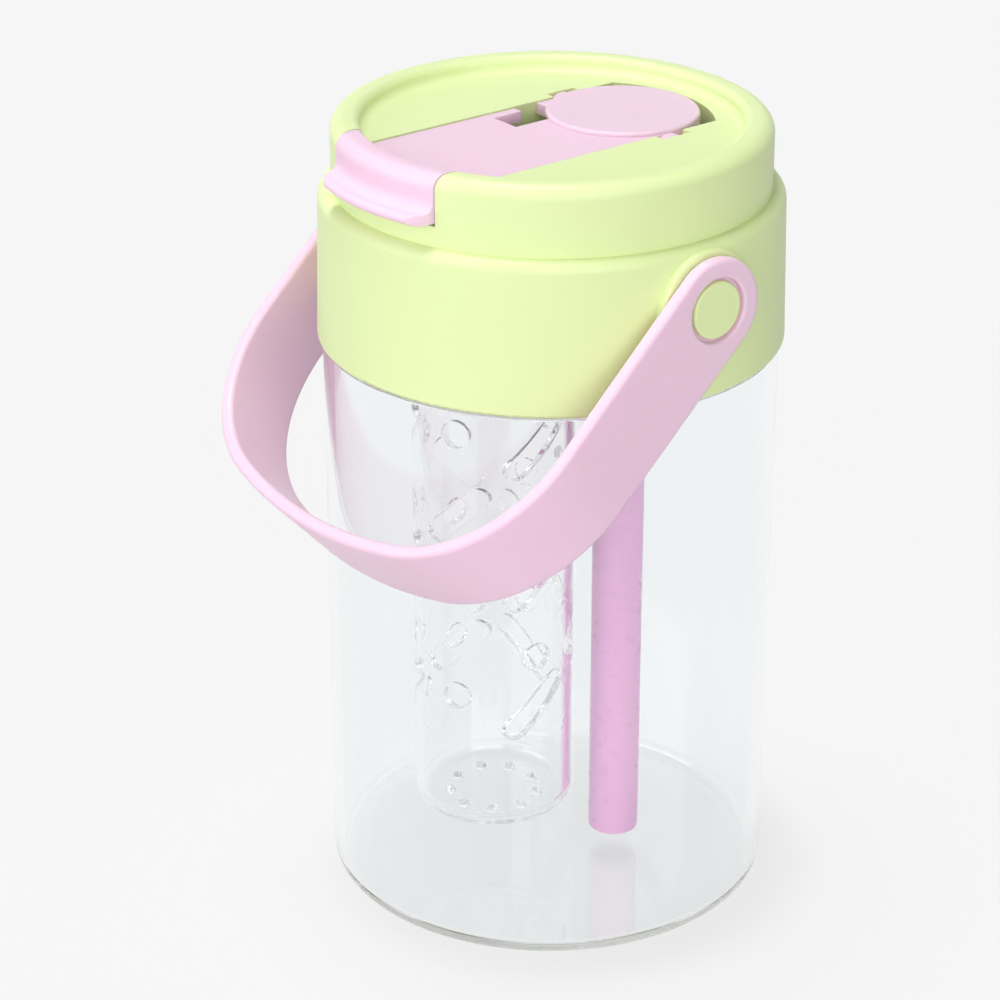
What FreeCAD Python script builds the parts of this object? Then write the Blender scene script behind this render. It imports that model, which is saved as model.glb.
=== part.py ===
# Fruit infuser water bottle: clear bottle, screw lid with a flip-up spout, carry handle, straw and fruit tube.
# Millimetres. Origin at the centre of the base, +Z up, -Y towards the thumb lip, +X towards the right handle pin.
import FreeCAD, Part
import math
import os
from FreeCAD import Vector

# Bottle
body_r = 48.85
body_wall = 2.2
base_thick = 2.2
base_round = 3.0
floor_round = 1.2
shoulder_z = 127.4
shoulder_round = 2.0
least_round = 0.2
neck_step = 4.25
neck_wall = 2.2
neck_top = 155.0
lip_round = 0.6

# Lid shell
skirt_step = 1.15
skirt_rise = 0.6
skirt_wall = 1.8
skirt_draft = 0.7
skirt_edge_round = 0.8
skirt_top_round = 2.5
lid_wall = 2.0
ring_step = 3.6
ring_height = 14.8
rim_round = 3.0
rim_flat = 1.6
rim_inner_round = 1.6
recess_depth = 3.5
channel_wall = 1.6

# Screw thread, two starts
thread_lead = 8.0
thread_starts = 2
thread_turns = 1.25
thread_clear = 0.5
thread_crest_w = 1.1
thread_root_w = 1.9
thread_depth = 2.1
thread_sink = 0.4
thread_lift = 6.1

# Seal and liner
gasket_thick = 2.0
gasket_squeeze = 0.05
gasket_clear = 0.3
gasket_overhang = 0.8
flange_thick = 2.0
flange_clear = 0.3
plug_wall = 1.8
plug_floor = 2.0
plug_clear = 0.8
plug_round = 1.5
well_to_plug = 2.0

# Carry handle and its pins
pivot_drop = 12.7
pin_boss_r = 11.9
pin_boss_depth = 24.0
pin_boss_proud = 0.2
pin_boss_round = 0.8
ear_clear = 0.3
ear_r = 10.9
strap_thick = 3.0
strap_width = 21.2
strap_round = 1.1
handle_reach = 81.0
arm_len = 43.4
corner_share = 0.94
lean_gap = 0.8
journal_r = 4.5
journal_clear = 0.05
head_r = 6.1
head_clear = 0.8
head_thick = 0.7
head_round = 0.5
head_seat = 1.4
head_hole_round = 0.6
head_end_play = 0.1
stem_r = 3.0
stem_len = 1.7
stem_fit = 0.05

# Flip lever, its hinge and round cap
lever_share = 0.4146
side_clear = 0.3
plate_thick = 2.4
plate_drop = 0.3
hinge_drop = 3.8
flip_angle = 90.0
trunnion_r = 3.65
trunnion_len = 2.4
trunnion_clear = 0.05
trunnion_end_clear = 0.3
cheek_thick = 2.2
cheek_r = 5.0
seat_wall = 1.6
cap_share = 0.994
cap_shift = 1.5
cap_thick = 1.0
cap_round = 0.7
cap_gap = 0.8
slot_back_r = 27.0
well_clear = 0.3
well_inset = 1.7
tail_clear = 0.4
hook_land = 2.6
hook_thick = 2.4
hook_proud = 0.2
lip_drop = 0.4
lip_reach = 4.2
lip_thick = 2.2
lip_gap = 0.6
lip_flare = 2.2
lip_corner = 4.8
lip_ease = 0.1
window_x = (-14.0, -6.5)
window_y = (-4.5, 9.0)
window_open_y = 3.0
window_ramp = 2.5

# Spout and drum valve
spout_share = 0.6364
spout_r = 4.0
spout_wall = 1.0
spout_fit = 0.05
spout_drop = 3.2
spout_gap = 0.4
spout_end_gap = 0.7
mouth_round = 0.6
nipple_wall = 0.9
nipple_len = 10.0
drum_r = 9.6
drum_half = 5.0
drum_clear = 0.3
pocket_inset = 0.6
pocket_clear = 0.7
port_angle = 27.5
port_wall = 1.6
seal_r = 3.3
seal_bore_r = 2.1
seal_len = 2.3
seal_fit = 0.05

# Straw and its stub
straw_step = 6.7
straw_r = 5.6
straw_wall = 1.4
straw_fit = 0.05
straw_gap = 3.8
stub_wall = 1.25
stub_len = 12.0
grommet_flange = 1.2
grommet_lip = 1.4
grommet_body = 1.35
grommet_fit = 0.05

# Air vent
vent_hole_at = (-10.2, -0.2)
vent_hole_r = 1.5
vent_at = (-14.0, 12.0)
vent_stem_r = 1.3
vent_cap_r = 4.5
vent_cap_thick = 1.4
vent_edge = 0.5
vent_tip_r = 1.5
vent_bulb_r = 2.0
vent_bulb_len = 2.4
vent_fit = 0.05

# Fruit tube
infuser_share = 0.4127
infuser_gap = 5.4
infuser_wall = 1.8
infuser_floor = 2.0
infuser_round = 4.0
infuser_lift = 16.8
infuser_top_gap = 0.3
plug_ring_len = 12.0
plug_ring_wall = 2.5
plug_ring_clear = 0.3
oring_r = 0.85
oring_clear = 0.05
oring_at = 6.0
columns = 6
column_start = 55.0
more_rows = 3
less_rows = 2
slot_first = 30.0
slot_pitch = 31.0
slot_stagger = 15.0
slot_len = 18.0
slot_width = 4.6
slot_lean = 45.0
hole_step = 12.0
hole_r = 3.0
drain_count = 9
drain_ring_r = 9.7
drain_r = 1.2

# How far joined shapes run into each other, and how far a cut runs past a face
bite = 0.5
over = 1.0
far = 200.0

# Radii and heights that follow from the sizes above
inner_r = body_r - body_wall
neck_r = body_r - neck_step
mouth_r = neck_r - neck_wall
skirt_r = body_r + skirt_step
skirt_bottom = shoulder_z + skirt_rise
flange_z = neck_top + gasket_thick
under_shoulder = flange_z + flange_thick
skirt_top = under_shoulder + lid_wall
skirt_top_r = skirt_r - skirt_draft
ring_r = skirt_r - ring_step
ring_inner_r = ring_r - lid_wall
rim_top = skirt_top + ring_height
floor_z = rim_top - recess_depth
plug_r = mouth_r - plug_clear
liner_r = plug_r - plug_wall

lever_half = lever_share * liner_r
slot_half = lever_half + side_clear
cap_r = cap_share * lever_half
tail_r = max(lever_half, cap_r)
slot_back_y = liner_r - well_inset - channel_wall
tail_y = slot_back_y - cap_gap - tail_r
hinge_y = tail_y - cap_shift
hinge_z = floor_z - hinge_drop
plate_top = floor_z - plate_drop
plate_bottom = plate_top - plate_thick
cap_top = plate_top + cap_thick
pocket_y = channel_wall - math.sqrt((liner_r - pocket_inset) ** 2 - (slot_half + channel_wall) ** 2)
pocket_z = hinge_z - drum_r - pocket_clear
sweep_r = math.hypot(tail_r + cap_shift, cap_top - hinge_z)
well_z = hinge_z - sweep_r - well_clear
well_y = hinge_y + plate_bottom - hinge_z - tail_clear
lip_top = hinge_z - lip_drop
lip_bottom = lip_top - lip_thick
shelf_z = lip_bottom - lip_gap
rim_width = rim_round + rim_flat + rim_inner_round + rim_top - rim_inner_round - plate_top
hook_foot_r = ring_r + hook_proud - rim_width - hook_land
plug_top = well_z - channel_wall - well_to_plug
plug_bottom = plug_top - plug_floor

spout_x = spout_share * lever_half
straw_y = hinge_y - straw_step
mouth_y = pocket_y + spout_end_gap
spout_y = hinge_y - drum_r - spout_gap
spout_z = hinge_z - spout_drop
nipple_r = spout_r - spout_wall - spout_fit
water_r = nipple_r - nipple_wall
port_tilt = math.radians(port_angle)
port_r = seal_r + seal_fit + port_wall
seal_end = drum_r + drum_clear + seal_len
elbow = (hinge_y - straw_y) / math.sin(port_tilt)
elbow_z = hinge_z - elbow * math.cos(port_tilt)
stub_r = straw_r - straw_wall - straw_fit
stub_bore_r = stub_r - stub_wall
stub_bottom = plug_bottom - stub_len
straw_bottom = base_thick + straw_gap
straw_top = plug_bottom - grommet_flange - straw_fit

pivot_z = skirt_top - pivot_drop
pin_boss_x = skirt_r + pin_boss_proud
ear_inner_x = pin_boss_x + ear_clear
ear_outer_x = ear_inner_x + strap_thick
corner_r = corner_share * (handle_reach - arm_len)

infuser_r = infuser_share * mouth_r
infuser_y = straw_y - math.sqrt((infuser_r + straw_r + infuser_gap) ** 2 - spout_x ** 2)
infuser_bottom = base_thick + infuser_lift
infuser_top = plug_bottom - infuser_top_gap
infuser_bore_r = infuser_r - infuser_wall
plug_ring_r = infuser_bore_r - plug_ring_clear
oring_outer_r = infuser_bore_r - oring_clear
oring_z = plug_bottom - oring_at

up = Vector(0, 0, 1)
right = Vector(1, 0, 0)
forward = Vector(0, 1, 0)
centre = Vector(0, 0, 0)
hinge_point = Vector(spout_x, hinge_y, hinge_z)


def box(x0, x1, y0, y1, z0, z1):
    return Part.makeBox(x1 - x0, y1 - y0, z1 - z0, Vector(x0, y0, z0))


def rod(radius, x, y, z0, z1):
    return Part.makeCylinder(radius, z1 - z0, Vector(x, y, z0), up)


def axle(radius, x0, x1, y, z):
    low, high = sorted((x0, x1))
    return Part.makeCylinder(radius, high - low, Vector(low, y, z), right)


def tube_along_y(radius, x, y0, y1, z):
    return Part.makeCylinder(radius, y1 - y0, Vector(x, y0, z), forward)


# A rod along the valve port, between two distances from the hinge axis
def port_rod(radius, near, away):
    along = Vector(0, -math.sin(port_tilt), -math.cos(port_tilt))
    return Part.makeCylinder(radius, away - near, hinge_point + along * near, along)


# All the room below the closed spout
def under_spout():
    return box(-far, far, -far, far, 0, spout_z - spout_r - drum_clear)


# A profile is a list of (r, z) points; an entry of three values (r, z, bulge point) ends an arc through that point
def profile_wire(points):
    edges = []
    here = Vector(points[0][0], 0, points[0][1])
    for point in points[1:] + points[:1]:
        there = Vector(point[0], 0, point[1])
        if len(point) == 3:
            edges.append(Part.Arc(here, Vector(point[2][0], 0, point[2][1]), there).toShape())
        elif (there - here).Length > 1e-6:
            edges.append(Part.LineSegment(here, there).toShape())
        here = there
    return Part.Wire(edges)


def turned(points, x=0.0, y=0.0):
    solid = Part.Face(profile_wire(points)).revolve(centre, up, 360)
    solid.translate(Vector(x, y, 0))
    return solid


# The point halfway along a quarter circle about a centre, in the direction of the two signs
def quarter(cr, cz, radius, sr, sz):
    return (cr + sr * radius * math.sqrt(0.5), cz + sz * radius * math.sqrt(0.5))


def save(name, shape):
    shape = shape.removeSplitter()
    if len(shape.Solids) == 1:
        shape = shape.Solids[0]
    shape.exportStep("parts/" + name + ".step")
    print(name, "solids", len(shape.Solids), "valid", shape.isValid(), "volume", round(shape.Volume))


# One ridge of the screw thread: a trapezoid carried up a right-hand helix
def thread_ridge(root_r, crest_r, start_z, angle):
    helix = Part.makeHelix(thread_lead, thread_lead * thread_turns, root_r)
    half_root = thread_root_w / 2
    half_crest = thread_crest_w / 2
    corners = [
        Vector(root_r, 0, -half_root),
        Vector(crest_r, 0, -half_crest),
        Vector(crest_r, 0, half_crest),
        Vector(root_r, 0, half_root),
    ]
    section = Part.makePolygon(corners + corners[:1])
    ridge = Part.Wire(helix.Edges).makePipeShell([section], True, True)
    ridge.rotate(centre, up, angle)
    ridge.translate(Vector(0, 0, start_z))
    return ridge


def thread_ridges(root_r, crest_r, start_z):
    step = 360.0 / thread_starts
    return [thread_ridge(root_r, crest_r, start_z, step * k) for k in range(thread_starts)]


def bottle_body():
    shoulder_r = body_r - shoulder_round
    shoulder_low = shoulder_z - shoulder_round
    under_z = shoulder_z - body_wall
    inner_round = max(shoulder_round - body_wall, least_round)
    outline = [
        (0, 0),
        (body_r - base_round, 0),
        (body_r, base_round, quarter(body_r - base_round, base_round, base_round, 1, -1)),
        (body_r, shoulder_low),
        (shoulder_r, shoulder_z, quarter(shoulder_r, shoulder_low, shoulder_round, 1, 1)),
        (neck_r, shoulder_z),
        (neck_r, neck_top - lip_round),
        (neck_r - lip_round, neck_top, quarter(neck_r - lip_round, neck_top - lip_round, lip_round, 1, 1)),
        (mouth_r + lip_round, neck_top),
        (mouth_r, neck_top - lip_round, quarter(mouth_r + lip_round, neck_top - lip_round, lip_round, -1, 1)),
        (mouth_r, under_z),
        (inner_r - inner_round, under_z),
        (inner_r, under_z - inner_round, quarter(inner_r - inner_round, under_z - inner_round, inner_round, 1, 1)),
        (inner_r, base_thick + floor_round),
        (inner_r - floor_round, base_thick,
         quarter(inner_r - floor_round, base_thick + floor_round, floor_round, 1, -1)),
        (0, base_thick),
    ]
    ridges = thread_ridges(neck_r - thread_sink, neck_r + thread_depth, shoulder_z + thread_lift)
    return turned(outline).fuse(ridges)


# The rim of the lid and of the lever's hook, from outside to the sunk floor
def rim_profile(outer_r, low_z, foot_r, foot_z, top_z):
    flat_r = outer_r - rim_round
    inner_r_top = flat_r - rim_flat
    inner_z = top_z - rim_inner_round
    side_r = inner_r_top - rim_inner_round
    foot_round = inner_z - foot_z
    return [
        (outer_r, low_z),
        (outer_r, top_z - rim_round),
        (flat_r, top_z, quarter(flat_r, top_z - rim_round, rim_round, 1, 1)),
        (inner_r_top, top_z),
        (side_r, inner_z, quarter(inner_r_top, inner_z, rim_inner_round, -1, 1)),
        (side_r - foot_round, foot_z, quarter(side_r - foot_round, inner_z, foot_round, 1, -1)),
        (foot_r, foot_z),
    ]


def lid_cavity():
    return turned([
        (0, skirt_bottom - over),
        (skirt_r - skirt_wall, skirt_bottom - over),
        (skirt_r - skirt_wall, skirt_bottom),
        (skirt_top_r - skirt_wall, under_shoulder),
        (ring_inner_r, under_shoulder),
        (ring_inner_r, floor_z - lid_wall),
        (0, floor_z - lid_wall),
    ])


# Plan of the slot: straight sides and a wide round end, drawn out by a margin at the end
def slot_plan(half, margin, z0, z1, y0):
    straight = box(-half, half, -far, tail_y, z0, z1)
    whole = straight.fuse(rod(slot_back_r + margin, 0, slot_back_y - slot_back_r, z0, z1))
    return whole.common(box(-half, half, y0, far, z0, z1)).removeSplitter()


# A seat the trunnion drops into from above
def hinge_seat(side):
    low, high = sorted((side * slot_half, side * (lever_half + trunnion_len + trunnion_end_clear)))
    radius = trunnion_r + trunnion_clear
    entry = box(low, high, hinge_y - radius, hinge_y + radius, hinge_z, far)
    return axle(radius, low, high, hinge_y, hinge_z).fuse(entry)


def hinge_block(side):
    low, high = sorted((side * slot_half, side * (lever_half + trunnion_len + trunnion_end_clear + seat_wall)))
    reach = trunnion_r + seat_wall
    return box(low, high, hinge_y - reach, hinge_y + reach, hinge_z - reach, floor_z - lid_wall / 2)


def lid_outside():
    skirt = [
        (0, skirt_bottom),
        (skirt_r - skirt_edge_round, skirt_bottom),
        (skirt_r, skirt_bottom + skirt_edge_round,
         quarter(skirt_r - skirt_edge_round, skirt_bottom + skirt_edge_round, skirt_edge_round, 1, -1)),
        (skirt_top_r, skirt_top - skirt_top_round),
        (skirt_top_r - skirt_top_round, skirt_top,
         quarter(skirt_top_r - skirt_top_round, skirt_top - skirt_top_round, skirt_top_round, 1, 1)),
    ]
    return turned(skirt + rim_profile(ring_r, skirt_top, 0, floor_z, rim_top))


# A round boss behind the handle's ear, with a soft outer edge
def pin_boss(side):
    boss = axle(pin_boss_r, side * (pin_boss_x - pin_boss_depth), side * pin_boss_x, 0, pivot_z)
    edges = [edge for edge in boss.Edges if edge.isClosed() and edge.CenterOfMass.x * side > pin_boss_x - 1e-6]
    return boss.makeFillet(pin_boss_round, edges)


def lid_shell():
    shell = lid_outside().fuse([pin_boss(1), pin_boss(-1)]).cut(lid_cavity())

    # Walls of the channel under the lever and of the well behind the hinge
    wall = channel_wall
    outer_half = slot_half + wall
    top = floor_z - lid_wall / 2
    pocket_out = box(-outer_half, outer_half, pocket_y - wall, well_y, pocket_z - wall, top)
    well_out = slot_plan(outer_half, wall, well_z - wall, top, well_y - wall)
    inside_ring = rod(ring_r - lid_wall / 2, 0, 0, 0, far)
    shelf_out = box(-outer_half, outer_half, -far, pocket_y, shelf_z - wall, top).common(inside_ring)
    stub = rod(stub_r, spout_x, straw_y, stub_bottom, pocket_z - wall / 2)
    shell = shell.fuse([pocket_out, well_out, shelf_out, stub, hinge_block(1), hinge_block(-1)])

    # Openings of the channel, the well, the hinge seats, the air vent and the handle pins
    shelf_cut = box(-slot_half, slot_half, -far, well_y, shelf_z, far)
    pocket_cut = box(-slot_half, slot_half, pocket_y, well_y, pocket_z, far)
    well_cut = slot_plan(slot_half, 0, well_z, far, well_y)
    vent = rod(vent_hole_r, vent_hole_at[0], vent_hole_at[1], pocket_z - wall - over, pocket_z + over)
    stem_x = pin_boss_x - stem_len - stem_fit
    stems = [axle(stem_r + stem_fit, side * stem_x, side * far, 0, pivot_z) for side in (1, -1)]
    seats = [hinge_seat(1), hinge_seat(-1)]
    shell = shell.cut([shelf_cut, pocket_cut, well_cut, vent] + stems + seats)

    # Port of the drum valve, and the water way down through the stub
    drum_space = axle(drum_r + drum_clear, -slot_half, slot_half, hinge_y, hinge_z)
    port_boss = port_rod(port_r, drum_r - over, seal_end + port_wall).common(under_spout()).cut(drum_space)
    seal_cut = port_rod(seal_r + seal_fit, drum_r - over, seal_end)
    passage = port_rod(water_r, drum_r - over, elbow)
    bore = rod(stub_bore_r, spout_x, straw_y, stub_bottom - over, elbow_z)
    shell = shell.fuse(port_boss).cut([seal_cut, passage, bore])

    half_pitch = thread_lead / thread_starts / 2
    root_r = skirt_r - skirt_wall + thread_sink / 2
    ridges = thread_ridges(root_r, neck_r + thread_clear, shoulder_z + thread_lift + half_pitch)
    return shell.fuse(ridges)


def inner_lid():
    flange_r = skirt_top_r - skirt_wall - flange_clear
    liner = turned([
        (0, plug_bottom),
        (plug_r - plug_round, plug_bottom),
        (plug_r, plug_bottom + plug_round, quarter(plug_r - plug_round, plug_bottom + plug_round, plug_round, 1, -1)),
        (plug_r, flange_z),
        (flange_r, flange_z),
        (flange_r, under_shoulder),
        (liner_r, under_shoulder),
        (liner_r, plug_top),
        (0, plug_top),
    ])
    ring_low = plug_bottom - plug_ring_len
    liner = liner.fuse(rod(plug_ring_r, 0, infuser_y, ring_low, plug_bottom))
    ring_bore = rod(plug_ring_r - plug_ring_wall, 0, infuser_y, ring_low - over, plug_bottom)
    groove = turned([
        (oring_outer_r - 2 * oring_r, oring_z - oring_r),
        (infuser_r, oring_z - oring_r),
        (infuser_r, oring_z + oring_r),
        (oring_outer_r - 2 * oring_r, oring_z + oring_r),
    ], 0, infuser_y)
    straw_hole = rod(stub_r + grommet_fit + grommet_body, spout_x, straw_y, plug_bottom - over, plug_top + over)
    vent = rod(vent_stem_r + vent_fit, vent_at[0], vent_at[1], plug_bottom - over, plug_top + over)
    return liner.cut([ring_bore, groove, straw_hole, vent])


def lid_gasket():
    low = neck_top + gasket_squeeze
    high = flange_z - gasket_squeeze
    inside = plug_r + gasket_clear
    outside = neck_r + gasket_overhang
    return turned([(inside, low), (outside, low), (outside, high), (inside, high)])


# The tilt at which the strap's lower inner edge leans on the bottle
def handle_tilt():
    reach = handle_reach - strap_thick
    half = strap_width / 2
    return math.degrees(math.acos((body_r + lean_gap) / math.hypot(reach, half)) - math.atan2(half, reach))


def mirrored(point):
    return Vector(-point.x, point.y, point.z)


# Plan of the U: straight arm, corner arc, wide end arc, and the same again on the other side
def u_face(inset):
    half = ear_outer_x - inset
    depth = handle_reach - arm_len - inset
    corner = corner_r - inset
    end_r = ((half - corner) ** 2 + depth ** 2 - corner ** 2) / (2 * (depth - corner))
    corner_c = Vector(half - corner, -arm_len, 0)
    end_c = Vector(0, -arm_len - depth + end_r, 0)
    along = (corner_c - end_c).normalize()
    start = Vector(half, ear_r, 0)
    arm_end = Vector(half, -arm_len, 0)
    bulge = corner_c + (along + right).normalize() * corner
    join = end_c + along * end_r
    edges = [
        Part.LineSegment(start, arm_end).toShape(),
        Part.Arc(arm_end, bulge, join).toShape(),
        Part.Arc(join, end_c - forward * end_r, mirrored(join)).toShape(),
        Part.Arc(mirrored(join), mirrored(bulge), mirrored(arm_end)).toShape(),
        Part.LineSegment(mirrored(arm_end), mirrored(start)).toShape(),
        Part.LineSegment(mirrored(start), start).toShape(),
    ]
    return Part.Face(Part.Wire(edges))


# Side outline of the strap: a round ear that runs by tangents into the strap's even width
def side_outline():
    half = strap_width / 2
    lean = math.asin((ear_r - half) / arm_len)
    touch_y = -ear_r * math.sin(lean)
    touch_z = ear_r * math.cos(lean)
    taper_end = -arm_len * math.cos(lean) ** 2
    end = -handle_reach - over
    top = [Vector(0, touch_y, touch_z), Vector(0, taper_end, half), Vector(0, end, half)]
    low = [Vector(0, v.y, -v.z) for v in top]
    edges = [Part.Arc(low[0], Vector(0, ear_r, 0), top[0]).toShape()]
    route = top + low[::-1]
    edges += [Part.LineSegment(a, b).toShape() for a, b in zip(route[:-1], route[1:])]
    face = Part.Face(Part.Wire(edges))
    face.translate(Vector(-far, 0, 0))
    return face.extrude(Vector(2 * far, 0, 0))


def carry_handle():
    band = u_face(0).cut(u_face(strap_thick))
    band.translate(Vector(0, 0, -ear_r))
    strap = band.extrude(Vector(0, 0, 2 * ear_r)).common(side_outline())
    strap = strap.removeSplitter()
    strap = strap.makeFillet(strap_round, strap.Edges)
    end_x = ear_outer_x + over
    for side in (1, -1):
        journal_hole = axle(journal_r + journal_clear, side * (ear_inner_x - over), side * end_x, 0, 0)
        head_hole = axle(head_r + head_clear, side * (ear_inner_x + head_seat), side * end_x, 0, 0)
        strap = strap.cut([journal_hole, head_hole])
    hole_edges = [
        edge for edge in strap.Edges if edge.isClosed() and abs(edge.CenterOfMass.x) > ear_outer_x - 1e-6
    ]
    strap = strap.makeFillet(head_hole_round, hole_edges)
    strap.rotate(centre, right, handle_tilt())
    strap.translate(Vector(0, 0, pivot_z))
    return strap


def handle_pin(side):
    seat = ear_inner_x + head_seat + head_end_play
    face = seat + head_thick
    pin = turned([
        (0, pin_boss_x - stem_len),
        (stem_r, pin_boss_x - stem_len),
        (stem_r, pin_boss_x),
        (journal_r, pin_boss_x),
        (journal_r, seat),
        (head_r, seat),
        (head_r, face),
        (head_r - head_round, face + head_round, quarter(head_r - head_round, face, head_round, 1, 1)),
        (0, face + head_round),
    ])
    pin.rotate(centre, forward, 90 * side)
    pin.translate(Vector(0, 0, pivot_z))
    return pin


# Plan of the hook: straight sides that run by round corners into the lip's front
def hook_plan():
    lip_r = ring_r + lip_reach
    corner_x = lever_half - lip_corner
    corner_far = lip_r - lip_corner
    corner_y = -math.sqrt(corner_far ** 2 - corner_x ** 2) - lip_ease
    front_half = corner_x * lip_r / corner_far
    front = box(-front_half, front_half, -far, 0, 0, far)
    sides = box(-lever_half, lever_half, corner_y, 0, 0, far)
    corners = [rod(lip_corner, x, corner_y, 0, far) for x in (-corner_x, corner_x)]
    return front.fuse([sides] + corners)


# The hook follows the lid's rim, then drops outside it and flares into the thumb lip
def lever_hook():
    outer_r = ring_r + hook_proud
    inner_r_low = outer_r - hook_thick
    lip_r = ring_r + lip_reach
    lip_half = lip_thick / 2
    flare_r = outer_r + lip_flare
    foot = rim_profile(outer_r, lip_top + lip_flare, hook_foot_r, plate_top, rim_top)
    points = [
        (flare_r, lip_top),
        (outer_r, lip_top + lip_flare, quarter(flare_r, lip_top + lip_flare, lip_flare, -1, -1)),
    ]
    points += foot[1:]
    points += [
        (hook_foot_r, plate_bottom),
        (inner_r_low - hook_thick, plate_bottom),
        (inner_r_low - hook_thick, lip_bottom + hook_thick),
        (inner_r_low, lip_bottom),
        (lip_r - lip_half, lip_bottom),
        (lip_r - lip_half, lip_top, (lip_r, lip_top - lip_half)),
    ]
    return turned(points).common(hook_plan())


def lever_window():
    x0, x1 = window_x
    y0, y1 = window_y
    corners = [
        Vector(x0, y0, plate_top),
        Vector(x0, y1, plate_top),
        Vector(x0, y1, plate_bottom),
        Vector(x0, y0 + window_ramp, plate_bottom),
    ]
    hole = Part.Face(Part.makePolygon(corners + corners[:1])).extrude(Vector(x1 - x0, 0, 0))
    side = box(-far, x0 + bite, window_open_y, y1, plate_bottom, plate_top)
    return hole.fuse(side)


def lever_plate():
    front_y = -math.sqrt(hook_foot_r ** 2 - lever_half ** 2)
    plate = box(-lever_half, lever_half, front_y - bite, tail_y, plate_bottom, plate_top)
    front = rod(hook_foot_r + bite, 0, 0, plate_bottom, plate_top)
    front = front.common(box(-lever_half, lever_half, -far, front_y, 0, far))
    back = rod(tail_r, 0, tail_y, plate_bottom, plate_top)
    back = back.common(box(-lever_half, lever_half, tail_y, far, 0, far))
    return plate.fuse([front, back])


def spout_lever():
    lever = lever_hook().fuse(lever_plate()).cut(lever_window())
    below_plate = box(-far, far, -far, far, 0, plate_bottom + bite)
    additions = [axle(drum_r, spout_x - drum_half, spout_x + drum_half, hinge_y, hinge_z).common(below_plate)]
    for side in (1, -1):
        face_x = side * lever_half
        additions.append(axle(cheek_r, face_x - side * cheek_thick, face_x, hinge_y, hinge_z).common(below_plate))
        additions.append(axle(trunnion_r, face_x, face_x + side * trunnion_len, hinge_y, hinge_z))
    nipple_end = spout_y - nipple_len
    additions.append(tube_along_y(nipple_r, spout_x, nipple_end, hinge_y, spout_z))
    lever = lever.fuse(additions)

    # The water way runs back along the nipple, then bends to the drum's face that meets the port when open
    bend = spout_drop / math.sin(port_tilt)
    bend_y = hinge_y + bend * math.cos(port_tilt)
    inlet = port_rod(water_r, bend, drum_r + over)
    inlet.rotate(hinge_point, right, flip_angle)
    elbow_ball = Part.makeSphere(water_r, Vector(spout_x, bend_y, spout_z))
    bore = tube_along_y(water_r, spout_x, nipple_end - over, bend_y, spout_z)
    return lever.cut([bore, elbow_ball, inlet])


def lever_cap():
    disc = rod(cap_r, 0, tail_y, plate_top, cap_top)
    disc = disc.common(box(-lever_half, lever_half, -far, far, 0, far)).removeSplitter()
    top_edges = [edge for edge in disc.Edges if edge.BoundBox.ZMin > cap_top - 1e-6]
    return disc.makeFillet(cap_round, top_edges)


def drinking_spout():
    tube = tube_along_y(spout_r, spout_x, mouth_y, spout_y, spout_z)
    mouth = [edge for edge in tube.Edges if edge.BoundBox.YMax < mouth_y + 1e-6]
    tube = tube.makeFillet(mouth_round, mouth)
    return tube.cut(tube_along_y(spout_r - spout_wall, spout_x, mouth_y - over, spout_y + over, spout_z))


def valve_seal():
    ring = port_rod(seal_r, drum_r - over, seal_end).cut(port_rod(seal_bore_r, 0, seal_end + over))
    ring = ring.common(under_spout())
    return ring.cut(axle(drum_r + drum_clear, spout_x - port_r, spout_x + port_r, hinge_y, hinge_z))


def straw():
    outside = rod(straw_r, spout_x, straw_y, straw_bottom, straw_top)
    return outside.cut(rod(straw_r - straw_wall, spout_x, straw_y, straw_bottom - over, straw_top + over))


def straw_grommet():
    inside = stub_r + grommet_fit
    waist = inside + grommet_body - grommet_fit
    brim = waist + grommet_lip
    return turned([
        (inside, plug_bottom - grommet_flange),
        (brim, plug_bottom - grommet_flange),
        (brim, plug_bottom),
        (waist, plug_bottom),
        (waist, plug_top),
        (brim, plug_top),
        (brim, plug_top + grommet_flange),
        (inside, plug_top + grommet_flange),
    ], spout_x, straw_y)


def vent_valve():
    return turned([
        (0, plug_bottom - vent_cap_thick),
        (vent_tip_r, plug_bottom - vent_cap_thick),
        (vent_cap_r, plug_bottom - vent_edge),
        (vent_cap_r, plug_bottom),
        (vent_stem_r, plug_bottom),
        (vent_stem_r, plug_top),
        (vent_bulb_r, plug_top),
        (vent_stem_r, plug_top + vent_bulb_len),
        (0, plug_top + vent_bulb_len),
    ], vent_at[0], vent_at[1])


# A slot with round ends that leans in the tangent plane, cut outwards along +X
def wall_slot():
    straight = slot_len - slot_width
    depth = infuser_r + over
    body = box(0, depth, -slot_width / 2, slot_width / 2, -straight / 2, straight / 2)
    ends = [Part.makeCylinder(slot_width / 2, depth, Vector(0, 0, z), right) for z in (-straight / 2, straight / 2)]
    slot = body.fuse(ends).removeSplitter()
    slot.rotate(centre, right, -slot_lean)
    return slot


def wall_hole():
    return Part.makeCylinder(hole_r, infuser_r + over, centre, right)


# Slots and round holes take turns up each column; every other column is raised and has a slot less and a hole more
def wall_openings():
    cutters = []
    for column in range(columns):
        raised = column % 2 == 0
        first = infuser_bottom + slot_first + raised * slot_stagger
        hole_first = first - hole_step if raised else first + hole_step
        slot_rows = less_rows if raised else more_rows
        hole_rows = more_rows if raised else less_rows
        openings = [(wall_slot(), first + row * slot_pitch) for row in range(slot_rows)]
        openings += [(wall_hole(), hole_first + row * slot_pitch) for row in range(hole_rows)]
        for cutter, height in openings:
            cutter.translate(Vector(0, 0, height))
            cutter.rotate(centre, up, column_start + column * 360.0 / columns)
            cutter.translate(Vector(0, infuser_y, 0))
            cutters.append(cutter)
    return cutters


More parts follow.
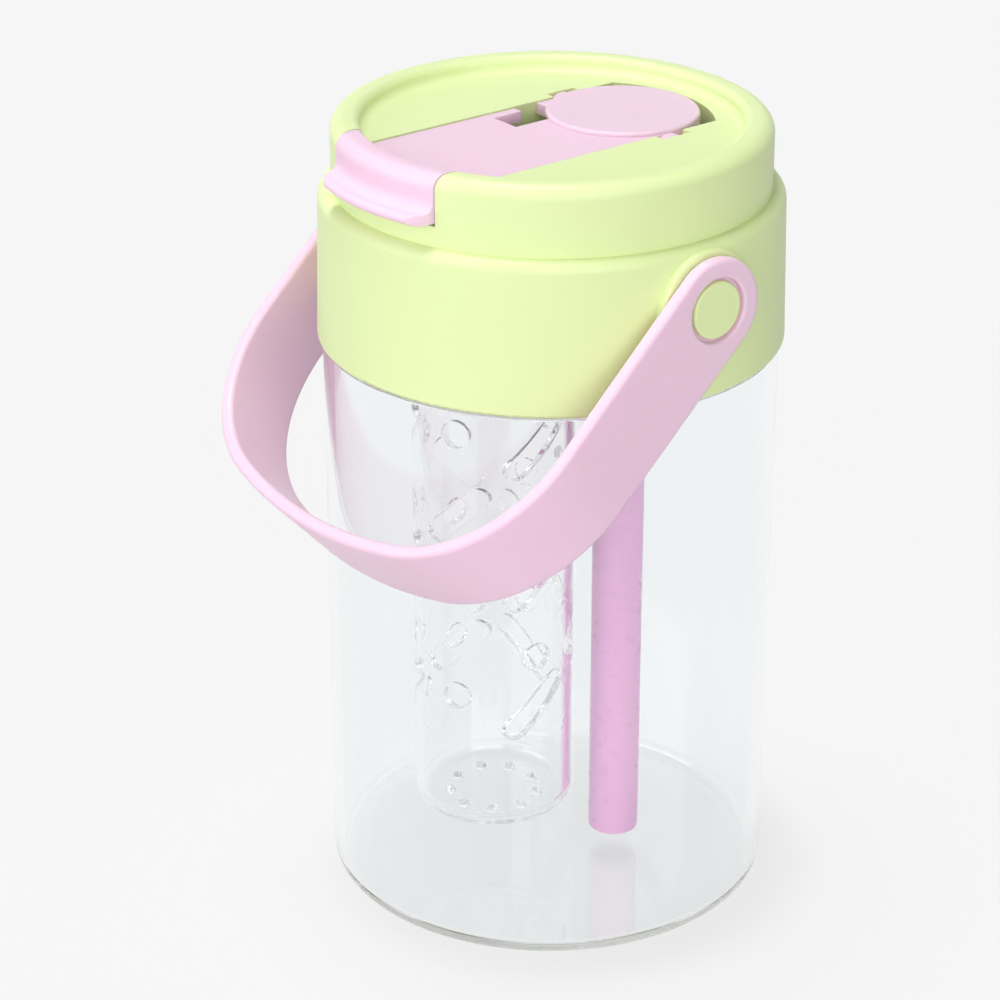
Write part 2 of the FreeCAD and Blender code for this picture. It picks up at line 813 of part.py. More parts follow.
def infuser_tube():
    floor_top = infuser_bottom + infuser_floor
    inner_round = max(infuser_round - infuser_wall, least_round)
    outer_corner = quarter(infuser_r - infuser_round, infuser_bottom + infuser_round, infuser_round, 1, -1)
    inner_corner = quarter(infuser_bore_r - inner_round, floor_top + inner_round, inner_round, 1, -1)
    tube = turned([
        (0, infuser_bottom),
        (infuser_r - infuser_round, infuser_bottom),
        (infuser_r, infuser_bottom + infuser_round, outer_corner),
        (infuser_r, infuser_top),
        (infuser_bore_r, infuser_top),
        (infuser_bore_r, floor_top + inner_round),
        (infuser_bore_r - inner_round, floor_top, inner_corner),
        (0, floor_top),
    ], 0, infuser_y)
    cutters = wall_openings()
    for k in range(drain_count):
        angle = 2 * math.pi * k / drain_count
        x = drain_ring_r * math.cos(angle)
        y = infuser_y + drain_ring_r * math.sin(angle)
        cutters.append(rod(drain_r, x, y, infuser_bottom - over, floor_top + over))
    return tube.cut(cutters)


def infuser_o_ring():
    return Part.makeTorus(oring_outer_r - oring_r, oring_r, Vector(0, infuser_y, oring_z), up)


os.makedirs("parts", exist_ok=True)
save("bottle_body", bottle_body())
save("lid_shell", lid_shell())
save("inner_lid", inner_lid())
save("lid_gasket", lid_gasket())
save("carry_handle", carry_handle())
save("handle_pin_right", handle_pin(1))
save("handle_pin_left", handle_pin(-1))
save("spout_lever", spout_lever())
save("lever_cap", lever_cap())
save("drinking_spout", drinking_spout())
save("valve_seal", valve_seal())
save("straw", straw())
save("straw_grommet", straw_grommet())
save("vent_valve", vent_valve())
save("infuser_tube", infuser_tube())
save("infuser_o_ring", infuser_o_ring())
print("handle tilt", round(handle_tilt(), 2), "pivot", round(pivot_z, 2), "hinge", round(hinge_y, 2), round(hinge_z, 2))
print("heights: rim", round(rim_top, 2), "plug", round(plug_bottom, 2), "well", round(well_z, 2))
print("plan: lever", round(lever_half, 2), "cap", round(cap_r, 2), "spout", round(spout_x, 2), round(mouth_y, 2))
print("straw", round(straw_y, 2), "fruit tube", round(infuser_y, 2), round(infuser_r, 2))
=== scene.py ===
import bmesh
import bpy
import numpy as np
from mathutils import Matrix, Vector


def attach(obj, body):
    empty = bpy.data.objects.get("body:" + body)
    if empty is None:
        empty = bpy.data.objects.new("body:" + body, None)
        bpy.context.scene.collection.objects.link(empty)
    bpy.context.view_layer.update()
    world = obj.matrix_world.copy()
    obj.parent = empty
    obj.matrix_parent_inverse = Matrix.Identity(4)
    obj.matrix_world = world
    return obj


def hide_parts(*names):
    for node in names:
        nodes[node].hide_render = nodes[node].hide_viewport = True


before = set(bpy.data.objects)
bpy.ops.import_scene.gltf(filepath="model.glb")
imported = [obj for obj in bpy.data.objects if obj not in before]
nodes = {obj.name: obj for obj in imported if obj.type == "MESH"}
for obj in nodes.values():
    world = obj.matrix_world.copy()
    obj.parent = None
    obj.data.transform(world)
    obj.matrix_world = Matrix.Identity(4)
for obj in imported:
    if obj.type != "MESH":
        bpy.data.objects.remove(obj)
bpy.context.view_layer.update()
scene = bpy.context.scene
scene.view_settings.view_transform = "Standard"
# light crosses many clear walls before it leaves the bottle
clearBounces = 96
scene.cycles.max_bounces = clearBounces
scene.cycles.transmission_bounces = clearBounces
scene.cycles.glossy_bounces = clearBounces
scene.cycles.transparent_max_bounces = 32
mm = 0.001
weldGap = 2e-6
print("frame loaded,", len(nodes), "nodes")


# four neighbours of a rows by cols grid make one face; wrap joins the last column to the first
def gridFaces(rows, cols, wrap=False):
    r = np.arange(rows - 1)[:, None]
    c = np.arange(cols if wrap else cols - 1)[None, :]
    n = (c + 1) % cols
    return np.stack([r * cols + c, r * cols + n, (r + 1) * cols + n, (r + 1) * cols + c], -1).reshape(-1, 4)


# patches is a list of (points in mm, quads); they go into one mesh, whose shared edges are then welded
def putMesh(name, patches):
    counts = np.cumsum([0] + [len(p) for p, q in patches])
    points = np.concatenate([p for p, q in patches]) * mm
    quads = np.concatenate([q + start for (p, q), start in zip(patches, counts)])
    mesh = bpy.data.meshes.new(name)
    mesh.vertices.add(len(points))
    mesh.vertices.foreach_set("co", points.ravel())
    mesh.loops.add(quads.size)
    mesh.loops.foreach_set("vertex_index", quads.ravel().astype(np.int32))
    mesh.polygons.add(len(quads))
    mesh.polygons.foreach_set("loop_start", np.arange(0, quads.size, 4, dtype=np.int32))
    mesh.update(calc_edges=True)
    welded = bmesh.new()
    welded.from_mesh(mesh)
    bmesh.ops.remove_doubles(welded, verts=welded.verts, dist=weldGap)
    bmesh.ops.recalc_face_normals(welded, faces=welded.faces)
    welded.to_mesh(mesh)
    welded.free()
    mesh.polygons.foreach_set("use_smooth", np.ones(len(mesh.polygons), dtype=bool))
    mesh.update()
    piece = bpy.data.objects.new(name, mesh)
    scene.collection.objects.link(piece)
    print(name, len(mesh.vertices), "points")
    return piece


# corners are (r, z, round): each corner with a round becomes a tangent arc,
# with a support point close to both its ends so that the straight runs shade flat
def roundedLine(corners, steps=8, support=0.12):
    c = np.array(corners, float)
    line = [c[:1, :2]]
    for before, corner, after in zip(c[:-2], c[1:-1], c[2:]):
        at, radius = corner[:2], corner[2]
        inward = (before[:2] - at) / np.linalg.norm(before[:2] - at)
        onward = (after[:2] - at) / np.linalg.norm(after[:2] - at)
        if radius == 0:
            line.append(at[None, :])
            continue
        half = np.arccos(np.clip(inward @ onward, -1, 1)) / 2
        cut = radius / np.tan(half)
        middle = at + (inward + onward) / np.linalg.norm(inward + onward) * radius / np.sin(half)
        first, last = at + inward * cut - middle, at + onward * cut - middle
        span = np.pi - 2 * half
        t = np.linspace(0, 1, steps + 1)[:, None]
        arc = middle + (first * np.sin((1 - t) * span) + last * np.sin(t * span)) / np.sin(span)
        line += [arc[:1] + inward * support, arc, arc[-1:] + onward * support]
    return np.concatenate(line + [c[-1:, :2]])


# a profile of (r, z) carried round a vertical axis at centre: x = cx + r cos a, y = cy + r sin a
def turned(line, around, centre=(0, 0), start=0.0):
    a = start + np.linspace(0, 2 * np.pi, around, endpoint=False)
    r, z = line[:, :1], line[:, 1:]
    grid = np.stack([centre[0] + r * np.cos(a), centre[1] + r * np.sin(a), z + 0 * a], -1)
    return grid.reshape(-1, 3), gridFaces(len(line), around, wrap=True)


# a colour as it looks on screen, 0 to 255, made linear
def tone(r, g, b):
    v = np.array([r, g, b]) / 255
    return (*np.where(v <= 0.04045, v / 12.92, ((v + 0.055) / 1.055) ** 2.4), 1.0)


def newMaterial(name):
    material = bpy.data.materials.new(name)
    material.use_nodes = True
    tree = material.node_tree
    return material, tree, tree.nodes["Principled BSDF"]


# noise on object coordinates, size in cells per metre
def noiseAt(tree, size, detail=2.0, rough=0.5):
    place = tree.nodes.new("ShaderNodeTexCoord")
    noise = tree.nodes.new("ShaderNodeTexNoise")
    noise.inputs["Scale"].default_value = size
    noise.inputs["Detail"].default_value = detail
    noise.inputs["Roughness"].default_value = rough
    tree.links.new(place.outputs["Object"], noise.inputs["Vector"])
    return noise.outputs["Fac"]


# tone one where the noise is below low, tone two above high, and a blend between
def blendTones(tree, fac, one, two, low=0.35, high=0.65):
    ramp = tree.nodes.new("ShaderNodeValToRGB")
    ramp.color_ramp.elements[0].position = low
    ramp.color_ramp.elements[0].color = one
    ramp.color_ramp.elements[1].position = high
    ramp.color_ramp.elements[1].color = two
    tree.links.new(fac, ramp.inputs["Fac"])
    return ramp.outputs["Color"]


# goes from low to high while value goes from near to far, straight or in a smooth step
def remap(tree, value, near, far, low, high, kind="LINEAR"):
    step = tree.nodes.new("ShaderNodeMapRange")
    step.interpolation_type = kind
    step.inputs["From Min"].default_value = near
    step.inputs["From Max"].default_value = far
    step.inputs["To Min"].default_value = low
    step.inputs["To Max"].default_value = high
    tree.links.new(value, step.inputs["Value"])
    return step.outputs["Result"]


def smoothStep(tree, value, near, far, low, high):
    return remap(tree, value, near, far, low, high, "SMOOTHSTEP")


# noise keeps mostly to its middle, so that part of it is stretched over the whole range
def stretch(tree, noise, low, high):
    return remap(tree, noise, 0.3, 0.7, low, high)


# fine relief of the given height in metres
def bumpFrom(tree, fac, strength, height):
    bump = tree.nodes.new("ShaderNodeBump")
    bump.inputs["Strength"].default_value = strength
    bump.inputs["Distance"].default_value = height
    tree.links.new(fac, bump.inputs["Height"])
    return bump.outputs["Normal"]


satin = {"cloudSize": 26, "glossSize": 420, "grainHeight": 0.00004, "innerReach": 0.003}


# moulded satin plastic: two close tones in soft clouds, a fine spark-eroded grain in gloss and relief, and light that
# spreads up to about 3 mm under the skin where inner is set
def satinPlastic(name, one, two, rough=(0.36, 0.46), grain=2600, relief=0.12, specular=0.38, inner=0.0,
                 spread=(1, 1, 1)):
    material, tree, surface = newMaterial(name)
    tree.links.new(blendTones(tree, noiseAt(tree, satin["cloudSize"], 3), one, two), surface.inputs["Base Color"])
    tree.links.new(stretch(tree, noiseAt(tree, satin["glossSize"], 2), *rough), surface.inputs["Roughness"])
    skin = bumpFrom(tree, noiseAt(tree, grain, 1), relief, satin["grainHeight"])
    tree.links.new(skin, surface.inputs["Normal"])
    surface.inputs["Specular IOR Level"].default_value = specular
    surface.inputs["Subsurface Weight"].default_value = inner
    surface.inputs["Subsurface Radius"].default_value = spread
    surface.inputs["Subsurface Scale"].default_value = satin["innerReach"]
    return material


clear = {
    "cloudSize": 18, "glossSize": 90, "rough": (0.012, 0.03), "waveHeight": 0.0004,
    "lampTint": (0.96, 0.966, 0.969, 1),
}


# clear moulded plastic: it bends what is behind it, has a faint cool tint, and lets lamp light straight through
def clearPlastic(name, one, two, ior, waves=55, relief=0.05):
    material, tree, surface = newMaterial(name)
    tree.links.new(blendTones(tree, noiseAt(tree, clear["cloudSize"], 2), one, two), surface.inputs["Base Color"])
    gloss = stretch(tree, noiseAt(tree, clear["glossSize"], 2), *clear["rough"])
    tree.links.new(gloss, surface.inputs["Roughness"])
    skin = bumpFrom(tree, noiseAt(tree, waves, 1), relief, clear["waveHeight"])
    tree.links.new(skin, surface.inputs["Normal"])
    surface.inputs["Transmission Weight"].default_value = 1.0
    surface.inputs["IOR"].default_value = ior
    ray = tree.nodes.new("ShaderNodeLightPath")
    through = tree.nodes.new("ShaderNodeBsdfTransparent")
    through.inputs["Color"].default_value = clear["lampTint"]
    mix = tree.nodes.new("ShaderNodeMixShader")
    tree.links.new(ray.outputs["Is Shadow Ray"], mix.inputs["Fac"])
    tree.links.new(surface.outputs["BSDF"], mix.inputs[1])
    tree.links.new(through.outputs["BSDF"], mix.inputs[2])
    tree.links.new(mix.outputs["Shader"], tree.nodes["Material Output"].inputs["Surface"])
    return material


# the material becomes the piece's only one
def dress(piece, material):
    piece.data.materials.clear()
    piece.data.materials.append(material)


bottle = {
    "bodyR": 48.85, "innerR": 46.65, "floorZ": 2.2, "baseRound": 3.0, "floorRound": 1.2,
    "shoulderZ": 127.4, "shoulderRound": 0.4, "underZ": 126.9, "underRound": 0.3,
    "neckR": 44.6, "mouthR": 42.4, "neckTop": 155.0, "lipRound": 0.6,
    "threadLead": 8.0, "threadStart": 133.5, "threadTurns": 1.25, "threadDepth": 2.1,
    "ridgeFoot": 0.886, "ridgeCrest": 0.55, "ridgeFade": 0.02, "around": 320, "rowStep": 0.28,
    "tints": ((0.958, 0.975, 0.983, 1), (0.971, 0.983, 0.989, 1)), "ior": 1.54,
}


# height of the two-start thread over the neck: a ramp from ridgeFoot down to ridgeCrest on both sides of
# the helix z = threadStart + threadLead * turn, with both ends faded out
def threadHeight(a, z):
    b = bottle
    height = np.zeros(np.broadcast(a, z).shape)
    for start in (0.0, 0.5):
        for lap in (-1, 0, 1):
            turn = a / (2 * np.pi) - start + lap
            off = np.abs(z - b["threadStart"] - b["threadLead"] * turn)
            ramp = np.clip((b["ridgeFoot"] - off) / (b["ridgeFoot"] - b["ridgeCrest"]), 0, 1)
            ends = np.clip(np.minimum(turn, b["threadTurns"] - turn) / b["ridgeFade"], 0, 1)
            height = np.maximum(height, b["threadDepth"] * ramp * ends)
    return height


# three surfaces of one shell: base, wall and shoulder outside, the threaded neck, and the lip and the inside
def makeBottle():
    b = bottle
    outside = roundedLine([
        (0, 0, 0), (b["bodyR"], 0, b["baseRound"]), (b["bodyR"], b["shoulderZ"], b["shoulderRound"]),
        (b["neckR"], b["shoulderZ"], 0)], steps=12)
    top = b["neckTop"] - b["lipRound"]
    inside = roundedLine([
        (b["neckR"], top, 0), (b["neckR"], b["neckTop"], b["lipRound"] - 0.01),
        (b["mouthR"], b["neckTop"], b["lipRound"]), (b["mouthR"], b["underZ"], b["underRound"]),
        (b["innerR"], b["underZ"], b["underRound"]), (b["innerR"], b["floorZ"], b["floorRound"]),
        (0, b["floorZ"], 0)], steps=10, support=0.005)
    z = np.linspace(b["shoulderZ"], top, int((top - b["shoulderZ"]) / b["rowStep"]) + 1)[:, None]
    a = np.linspace(0, 2 * np.pi, b["around"], endpoint=False)[None, :]
    r = b["neckR"] + threadHeight(a, z)
    neck = np.stack([r * np.cos(a), r * np.sin(a), z + 0 * a], -1).reshape(-1, 3)
    patches = [turned(outside, b["around"]), (neck, gridFaces(len(z), b["around"], wrap=True)),
               turned(inside, b["around"])]
    return putMesh("bottleShell", patches)


bottleShell = makeBottle()
dress(bottleShell, clearPlastic("clearBottle", *bottle["tints"], bottle["ior"]))
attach(bottleShell, "bottle")
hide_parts("bottle_body")

tube = {
    "centre": (0.0, -15.49), "outR": 17.5, "inR": 15.7, "lowZ": 19.0, "floorZ": 21.0, "topZ": 143.73,
    "outRound": 4.0, "inRound": 2.2, "rimRound": 0.5, "wallLow": 25.5, "wallHigh": 133.5,
    "columns": 6, "firstColumn": 55.0, "slots": (49.0, 80.0, 111.0), "holes": (61.0, 92.0),
    "raisedSlots": (64.0, 95.0), "raisedHoles": (52.0, 83.0, 114.0),
    "slotLen": 18.0, "slotWidth": 4.6, "slotLean": 45.0, "holeR": 3.0, "edgeRound": 0.35,
    "slotTile": 8.5, "holeTile": 7.0, "holeShift": 3.5,
    "drains": 9, "drainRing": 9.7, "drainR": 1.2, "drainReach": 2.3, "drainRound": 0.2,
    "around": 144, "tints": ((0.984, 0.988, 0.988, 1), (0.990, 0.993, 0.993, 1)),
    "ior": 1.54, "waves": 120,
}


# distance from the middle of a slot along the unit ray d to its outline; the slot is all points within
# half a width w of a bar of length bar along the unit vector lean
def slotReach(d, lean, bar, w):
    across = np.abs(d[:, 0] * lean[1] - d[:, 1] * lean[0])
    along = np.abs(d @ lean)
    side = w / np.maximum(across, 1e-9)
    end = along * bar / 2 + np.sqrt(np.maximum((along * bar / 2) ** 2 - bar ** 2 / 4 + w ** 2, 0))
    return np.where(side * along <= bar / 2, side, end)


# points in order round a rectangle, from -half to half both ways, with the given steps on its sides
def rectangle(halfU, halfV, stepsU, stepsV):
    u = np.linspace(-1, 1, stepsU + 1)[:-1]
    v = np.linspace(-1, 1, stepsV + 1)[:-1]
    ring = np.concatenate([
        np.stack([u, -np.ones(stepsU)], -1), np.stack([np.ones(stepsV), v], -1),
        np.stack([-u, np.ones(stepsU)], -1), np.stack([-np.ones(stepsV), -v], -1)])
    return ring * (halfU, halfV)


# wall points of a column: u is the offset square to its middle, so the depth is the root of radius^2 - u^2
def onColumn(column, u, radius, z):
    t = tube
    turn = np.radians(t["firstColumn"] + 360 / t["columns"] * column)
    out = np.sqrt(radius ** 2 - u ** 2)
    x = t["centre"][0] + out * np.cos(turn) - u * np.sin(turn)
    y = t["centre"][1] + out * np.sin(turn) + u * np.cos(turn)
    return np.stack(np.broadcast_arrays(x, y, z), -1).reshape(-1, 3)


# one tile of the wall with its hole: rings go from the tile's edge on the outer face to the hole's rounded
# edge, through the wall and out to the tile's edge on the inner face; middle is the tile's height, at the hole's
def wallTile(column, middle, tall, at, slotted):
    t = tube
    wide = t["around"] // t["columns"]
    edge = rectangle(np.pi / t["columns"], tall, wide, round(2 * tall)) + (0, middle - at)
    lean = np.array([np.sin(np.radians(t["slotLean"])), np.cos(np.radians(t["slotLean"]))])
    bar = t["slotLen"] - t["slotWidth"] if slotted else 0.0
    w = t["slotWidth"] / 2 if slotted else t["holeR"]
    e = t["edgeRound"]
    aim = np.stack([np.sin(edge[:, 0]) * t["outR"], edge[:, 1]], -1)
    d = aim / np.linalg.norm(aim, axis=1)[:, None]
    bend = np.linspace(0, np.pi / 2, 4)
    spread = np.array([1.0, 0.72, 0.46, 0.24, 0.1, 0.03, 0.0])

    def face(radius, order):
        rim = np.stack([np.sin(edge[:, 0]) * radius, edge[:, 1]], -1)
        hole = d * slotReach(d, lean, bar, w + e)[:, None]
        return [(hole + (rim - hole) * s, radius) for s in order]

    rings = face(t["outR"], spread)
    rings += [(d * slotReach(d, lean, bar, w + e * (1 - np.sin(x)))[:, None], t["outR"] - e * (1 - np.cos(x)))
              for x in bend[1:]]
    rings += [(d * slotReach(d, lean, bar, w + e * (1 - np.sin(x)))[:, None], t["inR"] + e * (1 - np.cos(x)))
              for x in bend[:0:-1]]
    rings += face(t["inR"], spread[::-1])
    flat = np.array([ring for ring, radius in rings])
    radius = np.array([radius for ring, radius in rings])[:, None]
    points = onColumn(column, flat[..., 0], radius, at + flat[..., 1])
    return points, gridFaces(len(rings), len(edge), wrap=True)


# the plain wall of a column between two heights
def plainWall(column, low, high, radius):
    half = np.pi / tube["columns"]
    wide = tube["around"] // tube["columns"]
    u = radius * np.sin(np.linspace(-half, half, wide + 1))[None, :]
    z = np.linspace(low, high, round(high - low) + 1)[:, None]
    return onColumn(column, u, radius, z), gridFaces(z.size, u.size)


# a column of tiles; raised columns have their holes in the upper half of their tiles, the others in the lower
def columnTiles(column):
    t = tube
    raised = column % 2 == 0
    slots = t["raisedSlots"] if raised else t["slots"]
    holes = t["raisedHoles"] if raised else t["holes"]
    shift = t["holeShift"] if raised else -t["holeShift"]
    tiles = [wallTile(column, z, t["slotTile"], z, True) for z in slots]
    tiles += [wallTile(column, z - shift, t["holeTile"], z, False) for z in holes]
    ends = [z - t["slotTile"] for z in slots] + [z + t["slotTile"] for z in slots]
    ends += [z - shift - t["holeTile"] for z in holes] + [z - shift + t["holeTile"] for z in holes]
    for radius in (t["outR"], t["inR"]):
        tiles.append(plainWall(column, t["wallLow"], min(ends), radius))
        tiles.append(plainWall(column, max(ends), t["wallHigh"], radius))
    return tiles


# one sector of the floor with its drain hole, from the lower face through the hole to the upper face
def drainTile(index):
    t = tube
    half = np.pi / t["drains"]
    edge = rectangle(half, t["drainReach"], t["around"] // t["drains"], 8)
    far = t["drainRing"] + edge[:, 1]
    aim = np.stack([far * np.cos(edge[:, 0]) - t["drainRing"], far * np.sin(edge[:, 0])], -1)
    d = aim / np.linalg.norm(aim, axis=1)[:, None]
    e, hole = t["drainRound"], t["drainR"]
    bend = np.linspace(0, np.pi / 2, 3)
    spread = np.array([1.0, 0.55, 0.2, 0.05, 0.0])
    rings = [(d * (hole + e) + (aim - d * (hole + e)) * s, t["lowZ"]) for s in spread]
    rings += [(d * (hole + e * (1 - np.sin(x))), t["lowZ"] + e * (1 - np.cos(x))) for x in bend[1:]]
    rings += [(d * (hole + e * (1 - np.sin(x))), t["floorZ"] - e * (1 - np.cos(x))) for x in bend[:0:-1]]
    rings += [(d * (hole + e) + (aim - d * (hole + e)) * s, t["floorZ"]) for s in spread[::-1]]
    flat = np.array([ring for ring, level in rings])
    z = np.array([level for ring, level in rings])[:, None] + 0 * flat[..., 0]
    turn = 2 * half * index
    out = t["drainRing"] + flat[..., 0]
    x = t["centre"][0] + out * np.cos(turn) - flat[..., 1] * np.sin(turn)
    y = t["centre"][1] + out * np.sin(turn) + flat[..., 1] * np.cos(turn)
    return np.stack([x, y, z], -1).reshape(-1, 3), gridFaces(len(rings), len(edge), wrap=True)


# turned foot, dish, rim and the two middles of the floor, with the tiles of the wall and of the floor between them
def makeTube():
    t = tube
    below, above = t["wallLow"], t["wallHigh"]
    nearR, farR = t["drainRing"] - t["drainReach"], t["drainRing"] + t["drainReach"]
    foot = roundedLine([(t["outR"], below, 0), (t["outR"], t["lowZ"], t["outRound"]), (farR, t["lowZ"], 0)])
    dish = roundedLine([(t["inR"], below, 0), (t["inR"], t["floorZ"], t["inRound"]), (farR, t["floorZ"], 0)])
    rim = roundedLine([
        (t["outR"], above, 0), (t["outR"], t["topZ"], t["rimRound"]), (t["inR"], t["topZ"], t["rimRound"]),
        (t["inR"], above, 0)], steps=5, support=0.05)
    under = np.array([(nearR, t["lowZ"]), (nearR / 2, t["lowZ"]), (0, t["lowZ"])])
    upper = np.array([(nearR, t["floorZ"]), (nearR / 2, t["floorZ"]), (0, t["floorZ"])])
    start = np.radians(t["firstColumn"] - 180 / t["columns"])
    patches = [turned(line, t["around"], t["centre"], start) for line in (foot, dish, rim, under, upper)]
    patches += [tile for column in range(t["columns"]) for tile in columnTiles(column)]
    patches += [drainTile(i) for i in range(t["drains"])]
    return putMesh("fruitTube", patches)


fruitTube = makeTube()
dress(fruitTube, clearPlastic("clearTube", *tube["tints"], tube["ior"], tube["waves"]))
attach(fruitTube, "infuser")
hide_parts("infuser_tube")

straw = {"centre": (10.5, 11.0), "outR": 5.6, "inR": 4.2, "lowZ": 6.0, "topZ": 142.78, "rimRound": 0.5,
         "around": 96, "tones": (tone(219, 166, 205), tone(222, 171, 208)), "rough": (0.26, 0.34), "grain": 900}


# a closed profile, from the middle of the outside down, up the inside and back, turned round the straw's axis
def makeStraw():
    s = straw
    middle = (s["lowZ"] + s["topZ"]) / 2
    line = roundedLine([
        (s["outR"], middle, 0), (s["outR"], s["lowZ"], s["rimRound"]), (s["inR"], s["lowZ"], s["rimRound"]),
        (s["inR"], s["topZ"], s["rimRound"]), (s["outR"], s["topZ"], s["rimRound"]), (s["outR"], middle, 0)],
        steps=6, support=0.05)
    return putMesh("drinkStraw", [turned(line, s["around"], s["centre"])])


drinkStraw = makeStraw()
dress(drinkStraw, satinPlastic("lilacStraw", *straw["tones"], straw["rough"], straw["grain"]))
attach(drinkStraw, "lid")
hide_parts("straw")

finishes = {
    "lime": satinPlastic("limeLid", tone(229, 245, 179), tone(231, 247, 183)),
    "pink": satinPlastic("pinkHandle", tone(245, 209, 231), tone(247, 213, 233), inner=0.3, spread=(1, 0.7, 0.8)),
    "white": satinPlastic("whiteLiner", tone(236, 238, 234), tone(240, 242, 238)),
    "milky": satinPlastic("milkySilicone", tone(232, 233, 229), tone(238, 239, 235), rough=(0.5, 0.6), grain=1500),
}
wears = {
    "lime": ["lid_shell", "handle_pin_right", "handle_pin_left"],
    "pink": ["carry_handle", "spout_lever", "lever_cap"],
    "white": ["inner_lid"],
    "milky": ["lid_gasket", "valve_seal", "straw_grommet", "vent_valve", "infuser_o_ring", "drinking_spout"],
}
for finish, names in wears.items():
    for name in names:
        dress(nodes[name], finishes[finish])
print("materials on", sum(len(names) for names in wears.values()), "solids")

studio = {
    "floorHalf": 8.0, "floorZ": -0.0004, "floorGlow": 0.85, "floorPaint": 0.08, "floorBounce": 0.6,
    "fadeFrom": 0.12, "fadeTo": 0.36,
    # painted shadow: the floor's glow dims to this level close to a point just right-front of the base's middle
    "paintedShadeAt": (0.006, 0.0011, 0.0), "paintedShadeFrom": 0.043, "paintedShadeTo": 0.061, "paintedShadeLevel": 0.91,
    "seenLevel": 0.922, "ceilingLevel": 0.55, "ceilingFrom": 0.2, "ceilingTo": 0.8,
    "fillFrom": (-0.17, -0.98, 0.0), "fillLow": 0.04, "fillHigh": 0.42,
    "leftFrom": (-0.44, -1.43, 0.40), "leftSize": 1.15, "leftPower": 9.0,
    "frontFrom": (1.30, -0.66, 0.46), "frontSize": 1.4, "frontPower": 15.8,
    "lookAt": (0, 0, 0.09), "topFrom": (-0.24, -0.09, 1.57), "topSize": 0.45, "topPower": 12.5,
}


def grey(level):
    return (level, level, level, 1)


# 1 for rays that see the background: from the camera, in gloss and through clear pieces
def seenRays(tree):
    ray = tree.nodes.new("ShaderNodeLightPath")
    first = tree.nodes.new("ShaderNodeMath")
    first.operation = "MAXIMUM"
    second = tree.nodes.new("ShaderNodeMath")
    second.operation = "MAXIMUM"
    tree.links.new(ray.outputs["Is Camera Ray"], first.inputs[0])
    tree.links.new(ray.outputs["Is Glossy Ray"], first.inputs[1])
    tree.links.new(first.outputs["Value"], second.inputs[0])
    tree.links.new(ray.outputs["Is Transmission Ray"], second.inputs[1])
    return second.outputs["Value"]


# distance of the shaded point from a point on the floor
def distanceFrom(tree, middle):
    place = tree.nodes.new("ShaderNodeTexCoord")
    away = tree.nodes.new("ShaderNodeVectorMath")
    away.operation = "DISTANCE"
    away.inputs[1].default_value = middle
    tree.links.new(place.outputs["Object"], away.inputs[0])
    return away.outputs["Value"]


# close to the bottle the floor takes real shadows, and its glow is also dimmed in a ring round the base, a painted
# shadow; further out it is even
def makeFloor():
    s = studio
    h = s["floorHalf"]
    mesh = bpy.data.meshes.new("paleFloor")
    corners = [(x, y, s["floorZ"]) for x, y in ((-h, -h), (h, -h), (h, h), (-h, h))]
    mesh.from_pydata(corners, [], [(0, 1, 2, 3)])
    floor = bpy.data.objects.new("paleFloor", mesh)
    scene.collection.objects.link(floor)
    material = bpy.data.materials.new("paleFloor")
    material.use_nodes = True
    tree = material.node_tree
    tree.nodes.remove(tree.nodes["Principled BSDF"])
    glow = tree.nodes.new("ShaderNodeEmission")
    glow.inputs["Color"].default_value = grey(s["floorGlow"])
    # painted shadow: the glow's strength falls towards the base, standing in for the base's contact shadow
    fromPaintedShade = distanceFrom(tree, s["paintedShadeAt"])
    paintedBaseShadow = smoothStep(tree, fromPaintedShade, s["paintedShadeFrom"], s["paintedShadeTo"], s["paintedShadeLevel"], 1)
    tree.links.new(paintedBaseShadow, glow.inputs["Strength"])
    paint = tree.nodes.new("ShaderNodeBsdfDiffuse")
    paint.inputs["Color"].default_value = grey(s["floorPaint"])
    bounce = tree.nodes.new("ShaderNodeBsdfDiffuse")
    bounce.inputs["Color"].default_value = grey(s["floorBounce"])
    both = tree.nodes.new("ShaderNodeAddShader")
    tree.links.new(glow.outputs[0], both.inputs[0])
    tree.links.new(paint.outputs[0], both.inputs[1])
    plain = tree.nodes.new("ShaderNodeEmission")
    plain.inputs["Color"].default_value = grey(s["seenLevel"])
    near = tree.nodes.new("ShaderNodeMixShader")
    evenShare = smoothStep(tree, distanceFrom(tree, (0, 0, 0)), s["fadeFrom"], s["fadeTo"], 0, 1)
    tree.links.new(evenShare, near.inputs["Fac"])
    tree.links.new(both.outputs[0], near.inputs[1])
    tree.links.new(plain.outputs[0], near.inputs[2])
    mix = tree.nodes.new("ShaderNodeMixShader")
    tree.links.new(seenRays(tree), mix.inputs["Fac"])
    tree.links.new(bounce.outputs[0], mix.inputs[1])
    tree.links.new(near.outputs[0], mix.inputs[2])
    tree.links.new(mix.outputs[0], tree.nodes["Material Output"].inputs["Surface"])
    mesh.materials.append(material)


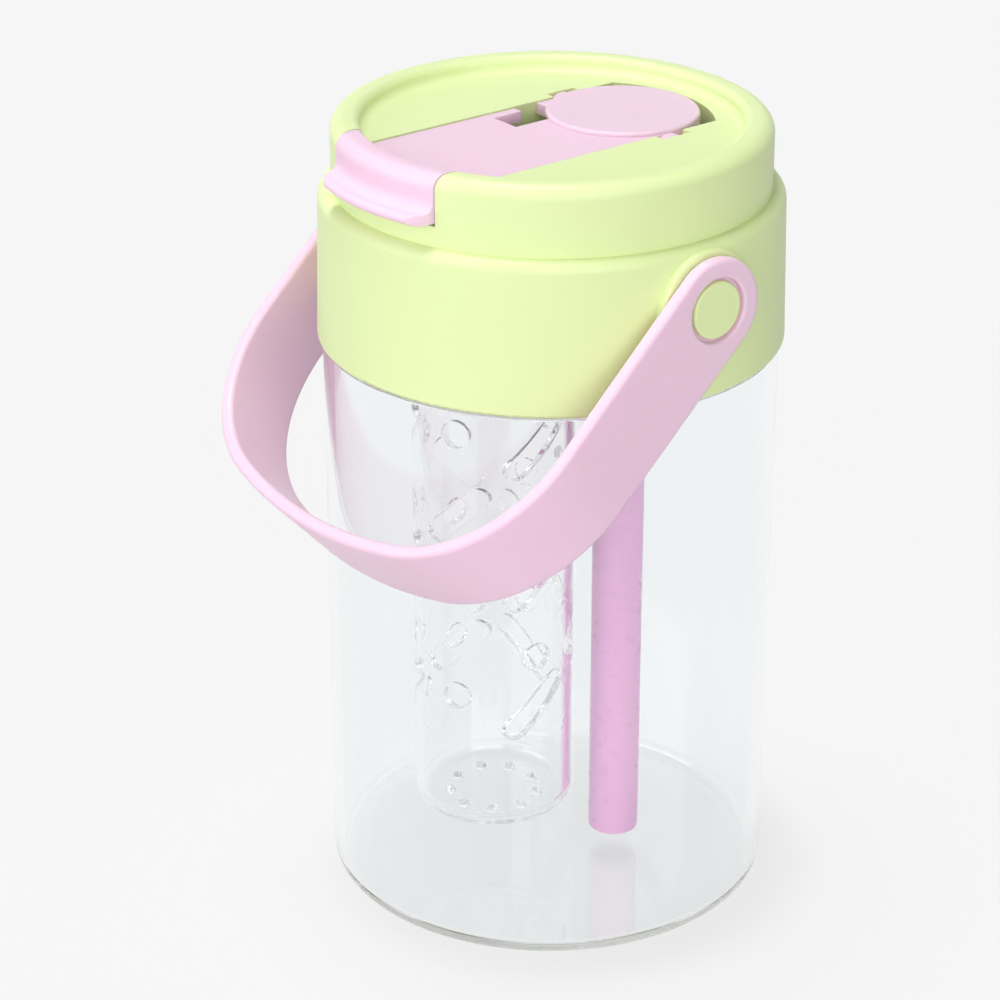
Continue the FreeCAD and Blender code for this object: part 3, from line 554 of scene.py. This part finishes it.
# the background is as pale as the floor at the horizon and greyer overhead, which draws the edges of clear pieces;
# the fill light goes from fillLow to fillHigh towards fillFrom
def makeWorld():
    s = studio
    world = bpy.data.worlds.new("studio")
    world.use_nodes = True
    tree = world.node_tree
    fill = tree.nodes["Background"]
    fill.inputs["Color"].default_value = (1, 1, 1, 1)
    seen = tree.nodes.new("ShaderNodeBackground")
    seen.inputs["Color"].default_value = (1, 1, 1, 1)
    towards = tree.nodes.new("ShaderNodeTexCoord")
    height = tree.nodes.new("ShaderNodeSeparateXYZ")
    tree.links.new(towards.outputs["Generated"], height.inputs["Vector"])
    overhead = smoothStep(tree, height.outputs["Z"], s["ceilingFrom"], s["ceilingTo"], s["seenLevel"],
                          s["ceilingLevel"])
    tree.links.new(overhead, seen.inputs["Strength"])
    facing = tree.nodes.new("ShaderNodeVectorMath")
    facing.operation = "DOT_PRODUCT"
    facing.inputs[1].default_value = s["fillFrom"]
    tree.links.new(towards.outputs["Generated"], facing.inputs[0])
    fillLevel = smoothStep(tree, facing.outputs["Value"], -1, 1, s["fillLow"], s["fillHigh"])
    tree.links.new(fillLevel, fill.inputs["Strength"])
    mix = tree.nodes.new("ShaderNodeMixShader")
    tree.links.new(seenRays(tree), mix.inputs["Fac"])
    tree.links.new(fill.outputs[0], mix.inputs[1])
    tree.links.new(seen.outputs[0], mix.inputs[2])
    tree.links.new(mix.outputs[0], tree.nodes["World Output"].inputs["Surface"])
    scene.world = world


# a square soft lamp that looks at the middle of the bottle
def softLamp(name, at, size, power):
    lamp = bpy.data.lights.new(name, "AREA")
    lamp.shape = "SQUARE"
    lamp.size = size
    lamp.energy = power
    holder = bpy.data.objects.new(name, lamp)
    holder.location = at
    holder.rotation_euler = (Vector(studio["lookAt"]) - Vector(at)).to_track_quat("-Z", "Y").to_euler()
    scene.collection.objects.link(holder)


view = {"at": (0.4889, -0.3959, 0.3820), "along": (-0.7133, 0.5575, -0.4248), "lens": 113.65, "sensor": 36}


# the camera that the photo was taken with, as fitted to its outlines
def makeCamera():
    camera = bpy.data.cameras.new("photoView")
    camera.lens = view["lens"]
    camera.sensor_width = view["sensor"]
    holder = bpy.data.objects.new("photoView", camera)
    holder.location = view["at"]
    holder.rotation_euler = Vector(view["along"]).to_track_quat("-Z", "Y").to_euler()
    scene.collection.objects.link(holder)
    scene.camera = holder


makeFloor()
makeWorld()
for side in ("left", "front", "top"):
    softLamp(side + "Lamp", studio[side + "From"], studio[side + "Size"], studio[side + "Power"])
makeCamera()
print("stage, lamps and camera set")
